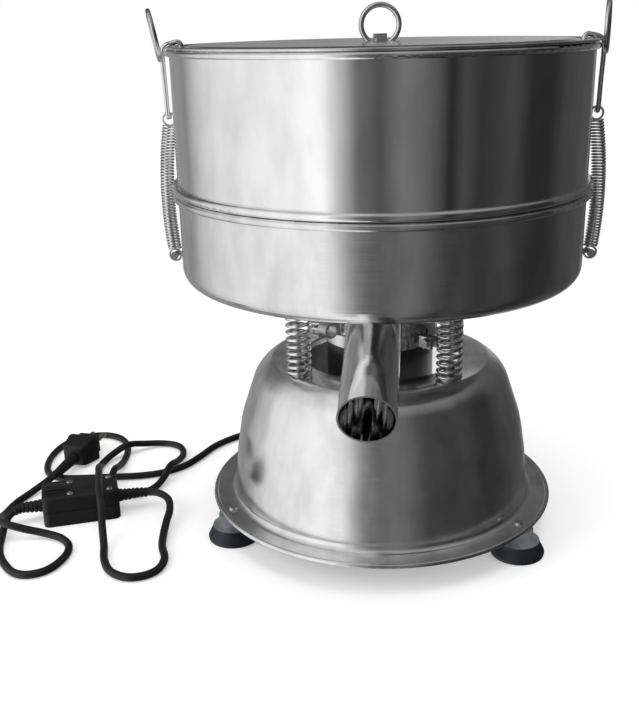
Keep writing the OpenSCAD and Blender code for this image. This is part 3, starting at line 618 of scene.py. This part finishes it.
def roundedBlock(bm, size, centre, edge, top=0.0, segments=4):
    # a block with rounded upright edges, and a softened top edge when top is given
    made = bmesh.ops.create_cube(bm, size=1, matrix=Matrix.Translation(Vector(centre) * mm)
                                 @ Matrix.Diagonal((*[v * mm for v in size], 1)))
    upright = [e for e in {e for v in made["verts"] for e in v.link_edges}
               if abs((e.verts[0].co - e.verts[1].co).normalized().z) > 0.9]
    before = set(bm.faces)
    bmesh.ops.bevel(bm, geom=upright, offset=edge * mm, offset_type="OFFSET", segments=segments,
                    profile=0.5, affect="EDGES", material=-1)
    if top:
        high = (centre[2] + size[2] / 2) * mm
        rim = [e for e in bm.edges if all(abs(v.co.z - high) < 1e-6 for v in e.verts)
               and any(abs(f.normal.z) < 0.5 for f in e.link_faces)]
        bmesh.ops.bevel(bm, geom=rim, offset=top * mm, offset_type="OFFSET", segments=segments,
                        profile=0.5, affect="EDGES", material=-1)
    return before


switch = {"place": (-250, -20, 0), "turn": 18, "size": (62, 34, 26), "middle": 13, "edge": 5,
          "crown": 2.6}


def placed(bm, place, turn):
    bmesh.ops.transform(bm, verts=bm.verts, matrix=Matrix.Translation(Vector(place) * mm)
                        @ Matrix.Rotation(math.radians(turn), 4, "Z"))
    bmesh.ops.recalc_face_normals(bm, faces=bm.faces)


def makeSwitch():
    w, d, h = switch["size"]
    lower = bmesh.new()
    roundedBlock(lower, (w, d, 12.5), (0, 0, 6.45), switch["edge"])
    placed(lower, switch["place"], switch["turn"])
    upper = bmesh.new()
    roundedBlock(upper, (w, d, h - 13.2), (0, 0, 13.2 + (h - 13.2) / 2), switch["edge"], switch["crown"])
    placed(upper, switch["place"], switch["turn"])
    band = bmesh.new()
    roundedBlock(band, (w - 1.6, d - 1.6, 1.4), (0, 0, 12.95), switch["edge"] - 0.8)
    placed(band, switch["place"], switch["turn"])
    frameRing = bmesh.new()
    roundedBlock(frameRing, (21, 15, 1.6), (-20, 0, h + 0.3), 1.5, 0.6)
    placed(frameRing, switch["place"], switch["turn"])
    made = [
        pieceFrom(lower, "switchLower", "mouldedBlack", "base", ["switch_shell_lower"]),
        pieceFrom(upper, "switchUpper", "mouldedBlack", "base", ["switch_shell_upper"]),
        pieceFrom(band, "switchSeam", "mouldedBlack", "base", []),
        pieceFrom(frameRing, "rockerFrame", "mouldedBlack", "base", []),
    ]
    rocker = bmesh.new()
    roundedBlock(rocker, (16.4, 10.6, 6), (-20, 0, 25.4), 0.8, 0.6)
    for vert in rocker.verts:
        if vert.co.z > 27 * mm:
            vert.co.z += ((vert.co.x / mm + 20) / 8.2) ** 2 * 1.1 * mm - 0.9 * mm
    placed(rocker, switch["place"], switch["turn"])
    made.append(pieceFrom(rocker, "rockerButton", "glossBlack", "rocker", ["rocker"]))
    return made


switchPieces = makeSwitch()

plug = {"place": (-287, 47, 10), "turn": 80.5, "grip": 22}


def makePlug():
    # a two-pin mains plug: a grip that narrows towards the cord and a flat pin face
    bm = bmesh.new()
    roundedBlock(bm, (25, 30, 23), (34.5, 0, 2.5), 4, 3)
    for vert in bm.verts:
        share = (47 - vert.co.x / mm) / 25
        vert.co.y *= 1 - 0.3 * max(0, share) ** 1.5
        vert.co.z = 2 * mm + (vert.co.z - 2 * mm) * (1 - 0.2 * max(0, share) ** 1.5)
    front = bmesh.new()
    roundedBlock(front, (11.4, 20, 17), (52.3, 0, 1.5), 2, 1.5)
    spare = bpy.data.meshes.new("spare")
    front.to_mesh(spare)
    front.free()
    bm.from_mesh(spare)
    bpy.data.meshes.remove(spare)
    placed(bm, plug["place"], plug["turn"])
    return pieceFrom(bm, "plugGrip", "mouldedBlack", "base", ["plug_body"])


plugPiece = makePlug()

sleeve = {"near": 5.5, "far": 3.9, "smooth": 3, "groove": 0.7, "pitch": 3.4, "grooveWidth": 1.1,
          "follow": 14, "step": 0.35}


def makeSleeve(name, start, line, node):
    # a ribbed sleeve that narrows from the housing and follows the first of the cord
    points = [Vector(start), *line]
    whole = (points[1] - points[0]).length + sleeve["follow"]
    route, shares, gone = [], [], 0.0
    for a, b in zip(points, points[1:]):
        count = max(1, round((b - a).length / sleeve["step"]))
        for k in range(count):
            along = gone + (b - a).length * k / count
            if along > whole:
                break
            radius = sleeve["near"] + (sleeve["far"] - sleeve["near"]) * along / whole
            if along > sleeve["smooth"] and along % sleeve["pitch"] < sleeve["grooveWidth"]:
                radius -= sleeve["groove"]
            route.append(a.lerp(b, k / count))
            shares.append(radius)
        gone += (b - a).length
        if gone > whole:
            break
    piece = joinMeshes(name, [wireMesh(name, route, 1, 3, False, shares)], "mouldedBlack")
    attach(piece, "base")
    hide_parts(node)
    return piece


def outOf(housing, reach, height):
    # a point on a housing's long axis, reach from its place
    way = math.radians(housing["turn"])
    x, y, z = housing["place"]
    return (x + reach * math.cos(way), y + reach * math.sin(way), height)


halfSwitch = switch["size"][0] / 2
sleeveIn = makeSleeve("sleeveIn", outOf(switch, halfSwitch, switch["middle"]), supplyLine[::-1],
                      "strain_relief_in")
sleeveOut = makeSleeve("sleeveOut", outOf(switch, -halfSwitch, switch["middle"]), plugLine,
                       "strain_relief_out")
sleevePlug = makeSleeve("sleevePlug", outOf(plug, plug["grip"], plug["place"][2]), plugLine[::-1],
                        "strain_relief_plug")
print("switch and plug made")


room = {
    "ambient": 0.55, "floor": "#F4F4F4", "floorLift": 0.3, "fadeFrom": 0.25, "fadeTo": 0.75,
    "overhead": 0.38, "mirror": 1.22, "behind": 0.08,
    # what polished steel sees round the compass: degrees from the front towards the right, brightness
    "panorama": [(-180, 0.3), (-130, 0.22), (-114, 0.5), (-95, 0.68), (-60, 0.8), (-30, 0.9), (-22, 0.5),
                 (-12, 0.13), (0, 0.07), (11, 0.15), (22, 0.12), (30, 0.07), (36, 0.015), (44, 0.055),
                 (53, 0.028), (72, 0.05), (84, 0.02), (100, 0.02), (112, 0.045), (150, 0.07),
                 (170, 0.5), (180, 0.3)],
}


def makeFloor():
    bm = bmesh.new()
    bmesh.ops.create_grid(bm, x_segments=1, y_segments=1, size=6)
    mesh = bpy.data.meshes.new("floor")
    bm.to_mesh(mesh)
    bm.free()
    floor = bpy.data.objects.new("floor", mesh)
    bpy.context.collection.objects.link(floor)
    floor.visible_glossy = False
    material, tree = newMaterial("paleFloor")
    paint = addNode(tree, "ShaderNodeBsdfDiffuse", {"Color": linear(room["floor"])})
    glow = addNode(tree, "ShaderNodeEmission", {"Color": (1, 1, 1, 1), "Strength": room["floorLift"]})
    both = addNode(tree, "ShaderNodeAddShader", links={0: paint.outputs[0], 1: glow.outputs[0]})
    paper = addNode(tree, "ShaderNodeEmission", {"Color": (1, 1, 1, 1), "Strength": 1.0})
    reach = addNode(tree, "ShaderNodeVectorMath", {"operation": "LENGTH"}, {0: objectPlace(tree)})
    fade = addNode(tree, "ShaderNodeMapRange", {"From Min": room["fadeFrom"], "From Max": room["fadeTo"],
                                                "interpolation_type": "SMOOTHSTEP"},
                   {"Value": reach.outputs["Value"]})
    faded = addNode(tree, "ShaderNodeMixShader", links={
        0: fade.outputs[0], 1: both.outputs[0], 2: paper.outputs[0]})
    seen = addNode(tree, "ShaderNodeLightPath")
    mixed = addNode(tree, "ShaderNodeMixShader", links={
        0: seen.outputs["Is Camera Ray"], 1: paint.outputs[0], 2: faded.outputs[0]})
    addNode(tree, "ShaderNodeOutputMaterial", links={"Surface": mixed.outputs[0]})
    mesh.materials.append(material)


def makeRoom():
    world = bpy.data.worlds.new("room")
    bpy.context.scene.world = world
    world.use_nodes = True
    tree = world.node_tree
    tree.nodes.clear()
    way = addNode(tree, "ShaderNodeSeparateXYZ", links={
        0: addNode(tree, "ShaderNodeTexCoord").outputs["Generated"]})
    toFront = addNode(tree, "ShaderNodeMath", {"operation": "MULTIPLY", 1: -1.0}, {0: way.outputs["Y"]})
    compass = addNode(tree, "ShaderNodeMath", {"operation": "ARCTAN2"},
                      {0: way.outputs["X"], 1: toFront.outputs[0]})
    share = addNode(tree, "ShaderNodeMapRange", {"From Min": -math.pi, "From Max": math.pi},
                    {"Value": compass.outputs[0]})
    view = addNode(tree, "ShaderNodeValToRGB", links={"Fac": share.outputs[0]})
    stops = view.color_ramp.elements
    for i, (degrees, level) in enumerate(room["panorama"]):
        place = (degrees + 180) / 360
        stop = stops[0] if i == 0 else stops[-1] if i == len(room["panorama"]) - 1 else stops.new(place)
        stop.position = place
        stop.color = (level, level, level, 1)
    height = addNode(tree, "ShaderNodeMapRange", {"From Min": 0.45, "From Max": 0.95, "To Max": 0.7},
                     {"Value": way.outputs["Z"]})
    topped = addNode(tree, "ShaderNodeMixRGB", {"Color2": [room["overhead"]] * 3 + [1]},
                     {"Fac": height.outputs[0], "Color1": view.outputs["Color"]})
    # the dark wall behind the object, as a level sheet at its foot mirrors it
    back = addNode(tree, "ShaderNodeMapRange", {"From Min": 0.2, "From Max": 0.7},
                   {"Value": way.outputs["Y"]})
    lifted = addNode(tree, "ShaderNodeMapRange", {"From Min": 0.1, "From Max": 0.3},
                     {"Value": way.outputs["Z"]})
    both = addNode(tree, "ShaderNodeMath", {"operation": "MULTIPLY"},
                   {0: back.outputs[0], 1: lifted.outputs[0]})
    shaded = addNode(tree, "ShaderNodeMixRGB", {"Color2": [room["behind"]] * 3 + [1]},
                     {"Fac": both.outputs[0], "Color1": topped.outputs[0]})
    ambient = addNode(tree, "ShaderNodeBackground", {"Color": (1, 1, 1, 1), "Strength": room["ambient"]})
    mirror = addNode(tree, "ShaderNodeBackground", {"Strength": room["mirror"]},
                     {"Color": shaded.outputs[0]})
    paper = addNode(tree, "ShaderNodeBackground", {"Color": (1, 1, 1, 1), "Strength": 1.0})
    path = addNode(tree, "ShaderNodeLightPath")
    glossy = addNode(tree, "ShaderNodeMixShader", links={
        0: path.outputs["Is Glossy Ray"], 1: ambient.outputs[0], 2: mirror.outputs[0]})
    final = addNode(tree, "ShaderNodeMixShader", links={
        0: path.outputs["Is Camera Ray"], 1: glossy.outputs[0], 2: paper.outputs[0]})
    addNode(tree, "ShaderNodeOutputWorld", links={"Surface": final.outputs[0]})


lamps = [
    {"name": "leftWindow", "place": (-1.5, -0.9, 1.1), "size": 1.2, "power": 14},
    {"name": "topSheet", "place": (0.1, -0.1, 1.9), "size": 1.6, "power": 16},
    {"name": "rightFill", "place": (1.6, -1.1, 1.0), "size": 0.9, "power": 4},
]


def makeLamps():
    for lamp in lamps:
        light = bpy.data.lights.new(lamp["name"], "AREA")
        light.size = lamp["size"]
        light.energy = lamp["power"]
        holder = bpy.data.objects.new(lamp["name"], light)
        bpy.context.collection.objects.link(holder)
        holder.location = lamp["place"]
        holder.visible_glossy = False
        aim = Vector((0, 0, 0.2)) - Vector(lamp["place"])
        holder.rotation_euler = aim.to_track_quat("-Z", "Y").to_euler()


makeFloor()
makeRoom()
makeLamps()
bpy.context.scene.view_settings.view_transform = "Standard"
bpy.context.scene.cycles.glossy_bounces = 10
bpy.context.scene.cycles.max_bounces = 14
print("room lit")
